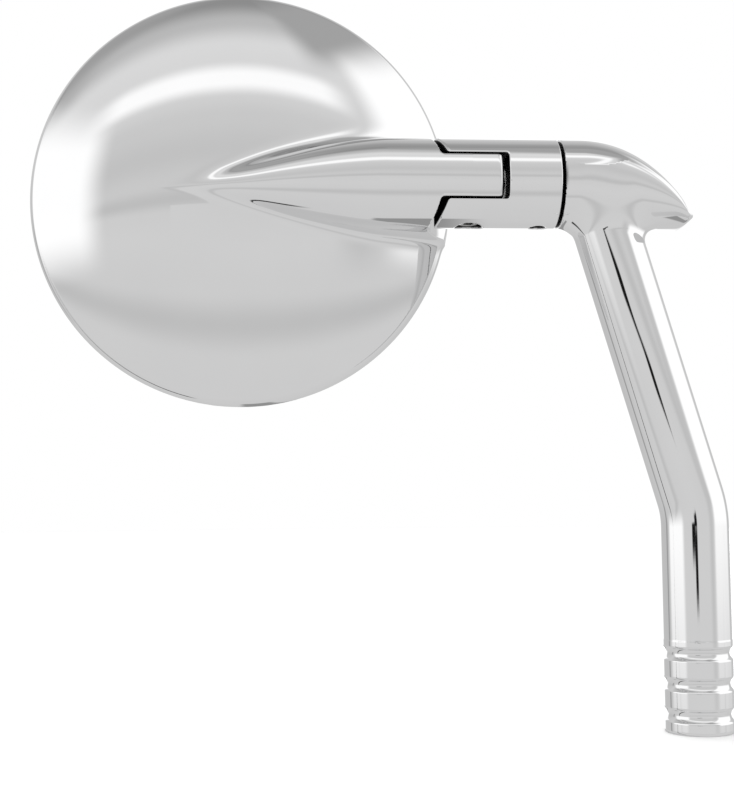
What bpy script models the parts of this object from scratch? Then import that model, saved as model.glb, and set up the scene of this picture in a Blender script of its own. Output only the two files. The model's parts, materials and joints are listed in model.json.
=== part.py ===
"""Round chrome handlebar mirror: a domed head on a forked swivel and a leaning stem.

Units are metres and +Z is up. The origin is the middle of the stem's flat foot, on the
axis of its threaded socket. The domed back of the head faces -Y and its glass faces +Y.
The head turns on an upright pivot screw in the swivel's fork, and the swivel turns on a
bolt along the neck axis, which runs along X.
"""

import math

import bmesh
import bpy
from mathutils import Matrix, Vector

MM = 0.001

# Clearances
GAP = 0.3 * MM  # between neighbouring pieces that touch on the real mirror
YAW_CLEARANCE = 0.15 * MM  # left at the tongue's corners when the head is at its stop
OVERSHOOT = 1.0 * MM  # how far a cutter reaches past the face it opens

# Stem
FOOT_RADIUS = 9.5 * MM
FOOT_LENGTH = 25.0 * MM
FOOT_CHAMFER = 1.0 * MM
GROOVE_COUNT = 3
GROOVE_FIRST = 5.0 * MM  # height of the lowest groove's middle
GROOVE_PITCH = 8.3 * MM
GROOVE_WIDTH = 3.45 * MM
GROOVE_DEPTH = 0.95 * MM
STEM_RADIUS = 9.4 * MM
BEND_HEIGHT = 60.3 * MM  # where the stem's two straight axes would meet
BEND_RADIUS = 30.0 * MM
STEM_LEAN = math.radians(16.3)
STEM_FLARE = 3.2 * MM  # fillet where the stem meets the neck
AXIS_HEIGHT = 152.1 * MM  # neck axis above the foot
NECK_RADIUS = 12.5 * MM
FACE_MARGIN = 0.5 * MM  # stem flare to the swivel face
TAIL_RISE = 5.7 * MM  # swivel face to where the tail starts to fall away
TAIL_ARC = 30.0 * MM
TAIL_LIP = 4.6 * MM  # height left at the end of the tail
TAIL_TIP = 1.8 * MM
EDGE_ROUND = 0.6 * MM

# Threaded socket in the foot
SOCKET_THREAD_RADIUS = 4.0 * MM
INSERT_WALL = 1.3 * MM
SOCKET_DEPTH = 20.0 * MM

# Swivel
SWIVEL_GAP = 0.8 * MM
SWIVEL_TO_PIVOT = 24.9 * MM
SLOT_PLAY = 0.5 * MM  # tongue to fork, above and below
EAR_REACH = 9.45 * MM  # pivot to the tip of the fork's ears
EAR_ARC = 20.0 * MM
SWIVEL_BOLT_RADIUS = 3.0 * MM
SWIVEL_BOLT_HEAD_RADIUS = 5.0 * MM
SWIVEL_BOLT_HEAD_HEIGHT = 3.0 * MM
SWIVEL_BOLT_GRIP = 13.0 * MM  # length of thread inside the stem
FRICTION_WASHER_RADIUS = 9.5 * MM
FRICTION_WASHER_THICKNESS = 1.4 * MM
DISC_SPRING_THICKNESS = 0.4 * MM
DISC_SPRING_CONE = 0.35 * MM
GRUB_RADIUS = 2.0 * MM
GRUB_PAD_THICKNESS = 1.5 * MM
SWIVEL_BOLT_HEX = 4.0 * MM  # across the flats, as the next two
PIVOT_HEX = 3.0 * MM
GRUB_HEX = 2.0 * MM
GRUB_HEX_DEPTH = 2.0 * MM
HEX_FLOOR = 0.8 * MM  # metal left under the hex socket in a screw's head

# Head pivot
TONGUE_HALF = 5.9 * MM
TONGUE_REACH = 8.5 * MM  # pivot to the tongue's end
TONGUE_CORNER = 2.5 * MM
SHOULDER_REACH = 10.9 * MM
SHOULDER_ARC = 26.0 * MM
YAW_LIMIT = math.radians(7.5)
PIVOT_RADIUS = 2.5 * MM
PIVOT_HEAD_RADIUS = 3.5 * MM
PIVOT_HEAD_HEIGHT = 2.2 * MM
PIVOT_HEAD_SINK = 1.2 * MM  # screw head below the lowest line of the neck
PIVOT_THREAD = 3.6 * MM  # length of thread in the upper ear
BUSH_WALL = 1.6 * MM
PIVOT_WASHER_RADIUS = 7.0 * MM
PIVOT_WASHER_THICKNESS = 1.2 * MM

# Head
HEAD_RADIUS = 60.9 * MM
DOME_DEPTH = 22.0 * MM
RIM_SETBACK = 22.0 * MM  # neck axis to the rim plane
RIM_OVERHANG = 2.9 * MM  # rim to the pivot axis
RIM_ROUND = 3.0 * MM
RIM_BAND = 1.0 * MM
WALL = 2.6 * MM
NOSE_OVERRUN = 15.2 * MM  # nose tip past the middle of the dome
NOSE_LENGTH = 44.0 * MM
NOSE_POWER = 1.8
WEB_INSET = 0.4 * MM  # sides of the web under the neck, in from the neck's widest lines
WEB_LENGTH = 28.0 * MM  # back from the shoulder
WEB_BITE = 1.2 * MM  # how far the web reaches into the dome
RIM_LAND = 4.3 * MM
LEDGE_DEPTH = 4.3 * MM
GASKET_WALL = 1.1 * MM
GASKET_LIP = 0.7 * MM
GASKET_BACK_LIP = 0.5 * MM
GASKET_OVERLAP = 1.7 * MM
GLASS_THICKNESS = 2.0 * MM
GLASS_CURVE = 1400.0 * MM
PAD_INNER = 37.0 * MM
PAD_OUTER = 49.0 * MM
PAD_THICKNESS = 2.2 * MM
RIB_WIDTH = 4.0 * MM

# Places worked out from the sizes above
TUBE_TOP_X = -(AXIS_HEIGHT - BEND_HEIGHT) * math.tan(STEM_LEAN)
TUBE_SIDE_X = TUBE_TOP_X + NECK_RADIUS * math.tan(STEM_LEAN) - STEM_RADIUS / math.cos(STEM_LEAN)
STEM_FACE_X = TUBE_SIDE_X - STEM_FLARE - FACE_MARGIN
CLEVIS_FACE_X = STEM_FACE_X - SWIVEL_GAP
SWIVEL_X = (STEM_FACE_X + CLEVIS_FACE_X) / 2
PIVOT_X = SWIVEL_X - SWIVEL_TO_PIVOT
HEAD_X = PIVOT_X - RIM_OVERHANG - HEAD_RADIUS
SWIVEL_AXIS = Vector((SWIVEL_X, 0, AXIS_HEIGHT))
PIVOT_AXIS = Vector((PIVOT_X, 0, AXIS_HEIGHT))
DOME_BASE = Vector((HEAD_X, RIM_SETBACK, AXIS_HEIGHT))
SLOT_HALF = TONGUE_HALF + SLOT_PLAY
BOLT_BORE = SWIVEL_BOLT_RADIUS + GAP
PIVOT_BORE = PIVOT_RADIUS + GAP
SPRING_HEIGHT = DISC_SPRING_THICKNESS + DISC_SPRING_CONE

AHEAD = Vector((1, 0, 0))
BACK = Vector((0, -1, 0))
UP = Vector((0, 0, 1))
FINE, MEDIUM, COARSE = 56, 36, 20  # sides of a round piece, by its size


def corner_reach():
    """How far the tongue's rounded corner swings towards the slot's floor at the stop."""
    x, y = TONGUE_REACH - TONGUE_CORNER, NECK_RADIUS - TONGUE_CORNER
    return math.hypot(x, y) * math.cos(math.atan2(y, x) - YAW_LIMIT) + TONGUE_CORNER


SLOT_X = PIVOT_X + corner_reach() + YAW_CLEARANCE
BOLT_HEAD_X = SLOT_X + GAP
SPRING_X = BOLT_HEAD_X + SWIVEL_BOLT_HEAD_HEIGHT + GAP
SPRING_SEAT_X = SPRING_X + 2 * (SPRING_HEIGHT + GAP)
WASHER_SEAT_X = STEM_FACE_X - FRICTION_WASHER_THICKNESS - 2 * GAP


# Scene and materials


def clear_scene():
    for obj in list(bpy.data.objects):
        bpy.data.objects.remove(obj, do_unlink=True)


def finish(name, colour, roughness, metallic=0.0):
    material = bpy.data.materials.new(name)
    material.use_nodes = True
    shader = material.node_tree.nodes["Principled BSDF"]
    shader.inputs["Base Color"].default_value = (*colour, 1)
    shader.inputs["Roughness"].default_value = roughness
    shader.inputs["Metallic"].default_value = metallic
    material.diffuse_color = (*colour, 1)
    return material


def joint_frame(name, at, parent=None):
    """An empty on a joint's axis, which the moving pieces hang from."""
    empty = bpy.data.objects.new(name, None)
    empty.empty_display_size = 10 * MM
    empty.location = at
    bpy.context.scene.collection.objects.link(empty)
    if parent:
        empty.parent = parent
        empty.matrix_parent_inverse = Matrix.Translation(-parent_place(parent))
    return empty


def parent_place(empty):
    return Vector(empty.location)


def add_object(name, mesh_maker, material=None, parent=None, at=(0, 0, 0), along=UP):
    """Links a new object whose local +Z points along the given direction."""
    mesh_maker.normal_update()
    bmesh.ops.recalc_face_normals(mesh_maker, faces=mesh_maker.faces)
    mesh = bpy.data.meshes.new(name)
    mesh_maker.to_mesh(mesh)
    mesh_maker.free()
    mesh.shade_smooth()
    mesh.set_sharp_from_angle(angle=math.radians(30))
    obj = bpy.data.objects.new(name, mesh)
    obj.location = at
    obj.rotation_euler = UP.rotation_difference(along).to_euler()
    bpy.context.scene.collection.objects.link(obj)
    if material:
        mesh.materials.append(material)
    if parent:
        obj.parent = parent
        obj.matrix_parent_inverse = Matrix.Translation(-parent_place(parent))
    return obj


# Shapes


def turned(outline, sides=MEDIUM):
    """A solid of revolution about local Z, from a closed outline of (radius, height)."""
    bm = bmesh.new()
    verts = [bm.verts.new((radius, 0, height)) for radius, height in outline]
    edges = [bm.edges.new(pair) for pair in zip(verts, verts[1:] + verts[:1])]
    bmesh.ops.spin(
        bm, geom=verts + edges, axis=UP, cent=(0, 0, 0), angle=math.tau, steps=sides, use_merge=True
    )
    bmesh.ops.remove_doubles(bm, verts=bm.verts, dist=0.001 * MM)
    on_axis = [e for e in bm.edges if not e.link_faces]
    bmesh.ops.delete(bm, geom=on_axis, context="EDGES")
    return bm


def rod_outline(radius, length, start=0.0):
    return [(0, start), (radius, start), (radius, start + length), (0, start + length)]


def ring_outline(inner, outer, length, start=0.0):
    return [(inner, start), (outer, start), (outer, start + length), (inner, start + length)]


def prism(outline, low, high):
    """An outline in local XY, extruded from one height to the other."""
    bm = bmesh.new()
    face = bm.faces.new([bm.verts.new((x, y, low)) for x, y in outline])
    grown = bmesh.ops.extrude_face_region(bm, geom=[face])
    moved = [item for item in grown["geom"] if isinstance(item, bmesh.types.BMVert)]
    bmesh.ops.translate(bm, verts=moved, vec=(0, 0, high - low))
    return bm


def hexagon(across_flats):
    corner = across_flats / math.sqrt(3)
    return [(corner * math.cos(a), corner * math.sin(a)) for a in arc_angles(0, math.tau, 6)[:-1]]


def loft(rings):
    """A solid through successive rings of equally many points, closed at both ends."""
    bm = bmesh.new()
    rows = [[bm.verts.new(point) for point in ring] for ring in rings]
    for row, following in zip(rows, rows[1:]):
        for i, vert in enumerate(row):
            bm.faces.new((row[i - 1], vert, following[i], following[i - 1]))
    bm.faces.new(rows[0])
    bm.faces.new(rows[-1])
    return bm


def arc_angles(start, end, steps):
    return [start + (end - start) * i / steps for i in range(steps + 1)]


def arc(centre, radius, start, end, steps):
    return [
        (centre[0] + radius * math.cos(a), centre[1] + radius * math.sin(a))
        for a in arc_angles(start, end, steps)
    ]


# Booleans


def helper(name, bm, at=(0, 0, 0), along=UP):
    """A shape that joins or cuts a piece, and is left out of the model itself."""
    obj = add_object(name, bm, at=at, along=along)
    obj.hide_render = True
    obj.display_type = "WIRE"
    return obj


def bore(name, radius, at, along, length, sides=COARSE):
    return helper(name, turned(rod_outline(radius, length), sides), at, along)


def combine(obj, operation, helpers):
    """Joins or cuts with all the helpers at once; they move with the piece."""
    group = bpy.data.collections.new(f"{obj.name} {operation.lower()}")
    bpy.context.scene.collection.children.link(group)
    for other in helpers:
        group.objects.link(other)
        bpy.context.scene.collection.objects.unlink(other)
        if obj.parent:
            other.parent = obj.parent
            other.matrix_parent_inverse = Matrix.Translation(-parent_place(obj.parent))
    modifier = obj.modifiers.new(operation.lower(), "BOOLEAN")
    modifier.operation = operation
    modifier.operand_type = "COLLECTION"
    modifier.collection = group
    modifier.solver = "EXACT"


# Stem


def foot_outline():
    """Half section of the grooved foot: round-bottomed grooves between plain lands."""
    half = GROOVE_WIDTH / 2
    radius = (half**2 + GROOVE_DEPTH**2) / (2 * GROOVE_DEPTH)
    sweep = math.asin(half / radius)
    points = [(0, 0), (FOOT_RADIUS - FOOT_CHAMFER, 0), (FOOT_RADIUS, FOOT_CHAMFER)]
    for i in range(GROOVE_COUNT):
        middle = (FOOT_RADIUS - GROOVE_DEPTH + radius, GROOVE_FIRST + i * GROOVE_PITCH)
        points += arc(middle, radius, math.pi + sweep, math.pi - sweep, 4)
    points += [(FOOT_RADIUS, FOOT_LENGTH), (0, FOOT_LENGTH)]
    return points


def tube_route():
    """Points along the bent tube, each with how far its flare reaches out along the neck."""
    tangent = BEND_RADIUS * math.tan(STEM_LEAN / 2)
    start = BEND_HEIGHT - tangent
    route = [(Vector((0, 0, FOOT_LENGTH - 2 * MM)), 0)]
    for angle in arc_angles(0, STEM_LEAN, 4):
        x = -BEND_RADIUS * (1 - math.cos(angle))
        route.append((Vector((x, 0, start + BEND_RADIUS * math.sin(angle))), 0))
    lean = Vector((-math.sin(STEM_LEAN), 0, math.cos(STEM_LEAN)))
    top = Vector((TUBE_TOP_X, 0, AXIS_HEIGHT))
    below_neck = (NECK_RADIUS - STEM_RADIUS * math.sin(STEM_LEAN)) / math.cos(STEM_LEAN)
    for angle in arc_angles(0, math.pi / 2, 4):
        back = below_neck + STEM_FLARE * (1 - math.sin(angle))
        route.append((top - lean * back, STEM_FLARE * (1 - math.cos(angle))))
    return route


def tube_solid():
    """The tube as rings square to its route."""
    route = tube_route()
    rings = []
    circle = arc((0, 0), STEM_RADIUS, 0, math.tau, MEDIUM)[:-1]
    for i, (point, flare) in enumerate(route):
        before = route[max(i - 1, 0)][0]
        after = route[min(i + 1, len(route) - 1)][0]
        turn = UP.rotation_difference(after - before)
        spread = 1 + flare / STEM_RADIUS
        rings.append([point + turn @ Vector((x * spread, y, 0)) for x, y in circle])
    return loft(rings)


def bar_section(x, top, inset=0.0):
    """Section across the bar: an ellipse from its foot up to the given height, inset all round."""
    half_height = (top + NECK_RADIUS) / 2
    middle = top - half_height
    circle = arc((0, 0), 1, 0, math.tau, MEDIUM)[:-1]
    width, height = NECK_RADIUS - inset, half_height - inset
    return [Vector((x, width * c, AXIS_HEIGHT + middle + height * s)) for c, s in circle]


def bar_solid():
    """Bar along the neck axis: round at the swivel, with a top that falls away to a flat tail."""
    start_x = STEM_FACE_X + TAIL_RISE
    rings = [
        bar_section(STEM_FACE_X, NECK_RADIUS, EDGE_ROUND),
        bar_section(STEM_FACE_X + EDGE_ROUND, NECK_RADIUS),
    ]
    fall = math.acos(1 - (2 * NECK_RADIUS - TAIL_LIP) / TAIL_ARC)
    for angle in arc_angles(0, fall, 16):
        top = NECK_RADIUS - TAIL_ARC * (1 - math.cos(angle))
        rings.append(bar_section(start_x + TAIL_ARC * math.sin(angle), top))
    end_x = start_x + TAIL_ARC * math.sin(fall)
    for angle in arc_angles(0, math.pi / 2, 4)[1:]:
        inset = TAIL_TIP * (1 - math.cos(angle))
        rings.append(bar_section(end_x + TAIL_TIP * math.sin(angle), TAIL_LIP - NECK_RADIUS, inset))
    return loft(rings)


def make_stem(chrome):
    stem = add_object("stem", turned(foot_outline(), MEDIUM), chrome)
    face = Vector((STEM_FACE_X, 0, AXIS_HEIGHT))
    pieces = [helper("stem_tube", tube_solid()), helper("stem_bar", bar_solid())]
    combine(stem, "UNION", pieces)
    insert_bore = BOLT_BORE + INSERT_WALL + GAP
    socket_bore = SOCKET_THREAD_RADIUS + INSERT_WALL + GAP
    grip = SWIVEL_BOLT_GRIP + 2 * OVERSHOOT
    cutters = [
        bore("stem_insert_bore", insert_bore, face - AHEAD * OVERSHOOT, AHEAD, grip),
        bore("stem_socket_bore", socket_bore, -UP * OVERSHOOT, UP, SOCKET_DEPTH + OVERSHOOT),
    ]
    combine(stem, "DIFFERENCE", cutters)


def make_stem_fittings(steel):
    outer = SOCKET_THREAD_RADIUS + INSERT_WALL
    foot = ring_outline(SOCKET_THREAD_RADIUS, outer, SOCKET_DEPTH - GAP)
    add_object("foot_thread_insert", turned(foot, COARSE), steel)
    swivel = ring_outline(BOLT_BORE, BOLT_BORE + INSERT_WALL, SWIVEL_BOLT_GRIP)
    at = Vector((STEM_FACE_X + GAP, 0, AXIS_HEIGHT))
    add_object("swivel_thread_insert", turned(swivel, COARSE), steel, at=at, along=AHEAD)


def make_swivel_bolt(steel):
    """Low-head socket bolt along the neck axis, fast in the stem."""
    length = STEM_FACE_X + SWIVEL_BOLT_GRIP - BOLT_HEAD_X
    head, height = SWIVEL_BOLT_HEAD_RADIUS, SWIVEL_BOLT_HEAD_HEIGHT
    outline = [
        (0, 0),
        (head - EDGE_ROUND, 0),
        (head, EDGE_ROUND),
        (head, height),
        (SWIVEL_BOLT_RADIUS, height),
        (SWIVEL_BOLT_RADIUS, length),
        (0, length),
    ]
    at = Vector((BOLT_HEAD_X, 0, AXIS_HEIGHT))
    bolt = add_object("swivel_bolt", turned(outline, COARSE), steel, at=at, along=AHEAD)
    socket = prism(hexagon(SWIVEL_BOLT_HEX), -OVERSHOOT, height - HEX_FLOOR)
    combine(bolt, "DIFFERENCE", [helper("swivel_bolt_socket", socket, at, AHEAD)])


# Swivel


def ear_gap_outline(reach, curve, far, rear=NECK_RADIUS + OVERSHOOT):
    """Outline in X and Y of what lies beyond an arc that bulges towards the head."""
    centre = (PIVOT_X - reach + curve, 0)
    front = NECK_RADIUS + OVERSHOOT
    bulge = arc(centre, curve, math.pi - math.asin(rear / curve), math.pi + math.asin(front / curve), 12)
    return bulge + [(far, -front), (far, rear)]


def make_clevis(chrome, parent):
    """The swivel body: a round bar whose forked end takes the head's tongue."""
    spare = 2 * MM
    end = CLEVIS_FACE_X - PIVOT_X + EAR_REACH + spare
    outline = [
        (0, 0),
        (NECK_RADIUS, 0),
        (NECK_RADIUS, end - EDGE_ROUND),
        (NECK_RADIUS - EDGE_ROUND, end),
        (0, end),
    ]
    at = Vector((PIVOT_X - EAR_REACH - spare, 0, AXIS_HEIGHT))
    clevis = add_object("clevis", turned(outline), chrome, parent, at, AHEAD)
    beyond = ear_gap_outline(EAR_REACH, EAR_ARC, PIVOT_X - 3 * NECK_RADIUS)
    wide = 2 * NECK_RADIUS
    slot = [(SLOT_X, -wide), (SLOT_X, wide), (PIVOT_X - wide, wide), (PIVOT_X - wide, -wide)]
    from_slot = Vector((SLOT_X - OVERSHOOT, 0, AXIS_HEIGHT))
    pocket = SPRING_SEAT_X - SLOT_X + OVERSHOOT
    washer_seat = Vector((WASHER_SEAT_X, 0, AXIS_HEIGHT))
    under = Vector((PIVOT_X, 0, AXIS_HEIGHT - NECK_RADIUS - OVERSHOOT))
    insert_seat = Vector((PIVOT_X, 0, AXIS_HEIGHT + SLOT_HALF - OVERSHOOT))
    insert_bore = PIVOT_BORE + INSERT_WALL / 2 + GAP
    cutters = [
        helper("clevis_ear_tips", prism(beyond, AXIS_HEIGHT - wide, AXIS_HEIGHT + wide)),
        helper("clevis_slot", prism(slot, AXIS_HEIGHT - SLOT_HALF, AXIS_HEIGHT + SLOT_HALF)),
        bore("clevis_bolt_bore", BOLT_BORE, from_slot, AHEAD, 2 * SWIVEL_TO_PIVOT),
        bore("clevis_bolt_pocket", SWIVEL_BOLT_HEAD_RADIUS + GAP, from_slot, AHEAD, pocket),
        bore("clevis_washer_seat", FRICTION_WASHER_RADIUS + GAP, washer_seat, AHEAD, NECK_RADIUS, MEDIUM),
        bore("clevis_screw_pocket", PIVOT_HEAD_RADIUS + GAP, under, UP, pivot_pocket_depth() + OVERSHOOT),
        bore("clevis_screw_bore", PIVOT_BORE, under, UP, NECK_RADIUS),
        bore("clevis_insert_bore", insert_bore, insert_seat, UP, PIVOT_THREAD + OVERSHOOT + 2 * GAP),
        bore("clevis_grub_bore", GRUB_RADIUS + GAP, grub_place(-OVERSHOOT), UP, NECK_RADIUS),
    ]
    combine(clevis, "DIFFERENCE", cutters)


def pivot_pocket_depth():
    return PIVOT_HEAD_SINK + PIVOT_HEAD_HEIGHT + SPRING_HEIGHT + 2 * GAP


def grub_place(lift=0.0):
    """On the neck's lowest line, under the middle of the clevis's solid web."""
    middle = (SPRING_SEAT_X + WASHER_SEAT_X) / 2
    return Vector((middle, 0, AXIS_HEIGHT - NECK_RADIUS + lift))


def disc_spring_outline(inner, outer):
    """Section of a coned disc spring."""
    thickness, cone = DISC_SPRING_THICKNESS, DISC_SPRING_CONE
    return [(inner, cone), (outer, 0), (outer, thickness), (inner, cone + thickness)]


def make_swivel_fittings(steel, nylon, brass, parent):
    washer = ring_outline(BOLT_BORE, FRICTION_WASHER_RADIUS, FRICTION_WASHER_THICKNESS)
    at = Vector((WASHER_SEAT_X + GAP, 0, AXIS_HEIGHT))
    add_object("swivel_friction_washer", turned(washer), nylon, parent, at, AHEAD)
    spring = disc_spring_outline(BOLT_BORE, SWIVEL_BOLT_HEAD_RADIUS)
    for i, name in enumerate(("swivel_disc_spring_outer", "swivel_disc_spring_inner")):
        at = Vector((SPRING_X + i * (SPRING_HEIGHT + GAP), 0, AXIS_HEIGHT))
        add_object(name, turned(spring, COARSE), steel, parent, at, AHEAD)
    pad = turned(rod_outline(GRUB_RADIUS, GRUB_PAD_THICKNESS), COARSE)
    pad_lift = NECK_RADIUS - BOLT_BORE - GRUB_PAD_THICKNESS
    add_object("swivel_grub_pad", pad, brass, parent, grub_place(pad_lift))
    length = pad_lift - GAP - PIVOT_HEAD_SINK
    at = grub_place(PIVOT_HEAD_SINK)
    grub = turned(rod_outline(GRUB_RADIUS, length), COARSE)
    grub = add_object("swivel_grub_screw", grub, steel, parent, at)
    socket = prism(hexagon(GRUB_HEX), -OVERSHOOT, GRUB_HEX_DEPTH)
    combine(grub, "DIFFERENCE", [helper("grub_socket", socket, at)])


def make_pivot_fittings(steel, nylon, parent):
    """The upright screw that the head turns on, with its spring, insert and washers."""
    low = AXIS_HEIGHT - NECK_RADIUS + PIVOT_HEAD_SINK
    top = AXIS_HEIGHT + SLOT_HALF + PIVOT_THREAD
    head, height = PIVOT_HEAD_RADIUS, PIVOT_HEAD_HEIGHT
    outline = [
        (0, 0),
        (head - EDGE_ROUND, 0),
        (head, EDGE_ROUND),
        (head, height),
        (PIVOT_RADIUS, height),
        (PIVOT_RADIUS, top - low),
        (0, top - low),
    ]
    at = Vector((PIVOT_X, 0, low))
    screw = add_object("pivot_screw", turned(outline, COARSE), steel, parent, at)
    socket = prism(hexagon(PIVOT_HEX), -OVERSHOOT, height - HEX_FLOOR)
    combine(screw, "DIFFERENCE", [helper("pivot_screw_socket", socket, at)])
    spring = disc_spring_outline(PIVOT_BORE, PIVOT_HEAD_RADIUS)
    at = Vector((PIVOT_X, 0, low + height + GAP))
    add_object("pivot_disc_spring", turned(spring, COARSE), steel, parent, at)
    insert = ring_outline(PIVOT_BORE, PIVOT_BORE + INSERT_WALL / 2, PIVOT_THREAD)
    at = Vector((PIVOT_X, 0, AXIS_HEIGHT + SLOT_HALF + GAP))
    add_object("pivot_thread_insert", turned(insert, COARSE), steel, parent, at)
    washer = ring_outline(PIVOT_BORE, PIVOT_WASHER_RADIUS, PIVOT_WASHER_THICKNESS)
    reach = SLOT_HALF - GAP - PIVOT_WASHER_THICKNESS
    for name, height in (("pivot_washer_upper", reach), ("pivot_washer_lower", GAP - SLOT_HALF)):
        at = Vector((PIVOT_X, 0, AXIS_HEIGHT + height))
        add_object(name, turned(washer, COARSE), nylon, parent, at)


# Head


def dome_curve(depth, edge):
    """Radius and centre height of the cap, which is tangent to the rim's rounded edge."""
    inner = HEAD_RADIUS - edge
    drop = depth - RIM_BAND
    radius = (inner**2 + drop**2 - edge**2) / (2 * (drop - edge))
    return radius, depth - radius


def dome_height(radius, sphere):
    return sphere[1] + math.sqrt(sphere[0] ** 2 - radius**2)


def dome_outline():
    """Half section of the solid dome; height 0 is the rim plane."""
    sphere = dome_curve(DOME_DEPTH, RIM_ROUND)
    reach = math.asin((HEAD_RADIUS - RIM_ROUND) / (sphere[0] - RIM_ROUND))
    cap = [(x, z) for z, x in arc((sphere[1], 0), sphere[0], 0, reach, 8)]
    edge = arc((HEAD_RADIUS - RIM_ROUND, RIM_BAND), RIM_ROUND, math.pi / 2 - reach, 0, 3)
    return [(0, 0)] + cap + edge[1:] + [(HEAD_RADIUS, EDGE_ROUND), (HEAD_RADIUS - EDGE_ROUND, 0)]


def bowl_outline():
    """Half section of the hollow inside the dome: glass seat, ledge and the pad's rib."""
    radius, centre = dome_curve(DOME_DEPTH, RIM_ROUND)
    sphere = (radius - WALL, centre)
    seat = HEAD_RADIUS - RIM_LAND
    lip = math.sqrt(sphere[0] ** 2 - (LEDGE_DEPTH - centre) ** 2)
    rib_height = pad_back() + GAP
    rib = (PAD_INNER + PAD_OUTER) / 2 - RIB_WIDTH / 2
    inside = [(r, dome_height(r, sphere)) for r in (0, rib / 3, rib * 2 / 3, rib)]
    outside = [
        (r, dome_height(r, sphere)) for r in (rib + RIB_WIDTH, (rib + RIB_WIDTH + lip) / 2, lip)
    ]
    ridge = [(rib, rib_height), (rib + RIB_WIDTH, rib_height)]
    opening = [(seat, LEDGE_DEPTH), (seat, -OVERSHOOT)]
    return [(0, -OVERSHOOT)] + inside + ridge + outside + opening


def glass_edge():
    """Radius of the glass, and the height of the front of its edge."""
    radius = HEAD_RADIUS - RIM_LAND - GAP - GASKET_WALL - GAP
    front = LEDGE_DEPTH - GAP - GASKET_BACK_LIP - GAP - GLASS_THICKNESS
    return radius, front


def glass_sag(radius):
    return GLASS_CURVE - math.sqrt(GLASS_CURVE**2 - radius**2)


def glass_back(radius):
    edge, front = glass_edge()
    return front + GLASS_THICKNESS - (glass_sag(edge) - glass_sag(radius))


def pad_back():
    return glass_back(PAD_OUTER) + GAP + PAD_THICKNESS


def neck_rings():
    """Rings from the nose's tip on the dome to the tongue's end: an ogive, then a plain bar."""
    tip = HEAD_X - NOSE_OVERRUN
    rings = []
    stations = [0.004, 0.03] + [i / 10 for i in range(1, 11)]
    for t in stations:
        radius = NECK_RADIUS * (1 - (1 - t) ** NOSE_POWER)
        rings.append((tip + NOSE_LENGTH * t, radius))
    rings.append((PIVOT_X + TONGUE_REACH, NECK_RADIUS))
    angles = arc_angles(0, math.tau, MEDIUM)[:-1]
    return [[(x, r * math.cos(a), r * math.sin(a)) for a in angles] for x, r in rings]


def tongue_corner_outline(side):
    """What the rounding takes off one upright corner of the tongue's end."""
    x, y = PIVOT_X + TONGUE_REACH - TONGUE_CORNER, NECK_RADIUS - TONGUE_CORNER
    curve = arc((x, y), TONGUE_CORNER, 0, math.pi / 2, 6)
    out = TONGUE_CORNER + OVERSHOOT
    outline = [(x, y + out), (x + out, y + out), (x + out, y)] + curve
    return [(px, side * py) for px, py in outline]


def web_outline():
    """Plan of the web that ties the neck's back to the dome, as far as the shoulder's arc."""
    sphere = dome_curve(DOME_DEPTH, RIM_ROUND)
    start = PIVOT_X - SHOULDER_REACH - WEB_LENGTH
    end = min(HEAD_X + HEAD_RADIUS - RIM_ROUND, PIVOT_X)
    far = [
        (x, RIM_SETBACK - dome_height(abs(x - HEAD_X), sphere) + WEB_BITE)
        for x in arc_angles(end, start, 8)
    ]
    return [(start, 0), (end, 0)] + far


def make_head_shell(chrome, parent):
    """Domed shell with the nose, neck and tongue that carry it, hollow behind the glass."""
    shell = add_object("head_shell", turned(dome_outline(), FINE), chrome, parent, DOME_BASE, BACK)
    web_half = NECK_RADIUS - WEB_INSET
    web = prism(web_outline(), AXIS_HEIGHT - web_half, AXIS_HEIGHT + web_half)
    neck = helper("head_neck", loft(neck_rings()), (0, 0, AXIS_HEIGHT))
    combine(shell, "UNION", [neck, helper("head_web", web)])
    room = ear_gap_outline(SHOULDER_REACH, SHOULDER_ARC, PIVOT_X + 2 * NECK_RADIUS, RIM_SETBACK - RIM_BAND)
    tall = NECK_RADIUS + OVERSHOOT
    low, high = AXIS_HEIGHT - 2 * NECK_RADIUS, AXIS_HEIGHT + 2 * NECK_RADIUS
    seat = SLOT_HALF - 2 * GAP - PIVOT_WASHER_THICKNESS
    washer_bore = PIVOT_WASHER_RADIUS + GAP
    depth = TONGUE_HALF + OVERSHOOT - seat
    lower = Vector((PIVOT_X, 0, AXIS_HEIGHT - TONGUE_HALF - OVERSHOOT))
    upper = Vector((PIVOT_X, 0, AXIS_HEIGHT + seat))
    under = Vector((PIVOT_X, 0, low))
    cutters = [
        helper("head_bowl", turned(bowl_outline(), FINE), DOME_BASE, BACK),
        helper("head_ear_room_lower", prism(room, AXIS_HEIGHT - tall, AXIS_HEIGHT - TONGUE_HALF)),
        helper("head_ear_room_upper", prism(room, AXIS_HEIGHT + TONGUE_HALF, AXIS_HEIGHT + tall)),
        helper("head_corner_near", prism(tongue_corner_outline(-1), low, high)),
        helper("head_corner_far", prism(tongue_corner_outline(1), low, high)),
        bore("head_washer_seat_lower", washer_bore, lower, UP, depth),
        bore("head_washer_seat_upper", washer_bore, upper, UP, depth),
        bore("head_bush_bore", PIVOT_BORE + BUSH_WALL + GAP, under, UP, high - low),
    ]
    combine(shell, "DIFFERENCE", cutters)


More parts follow.
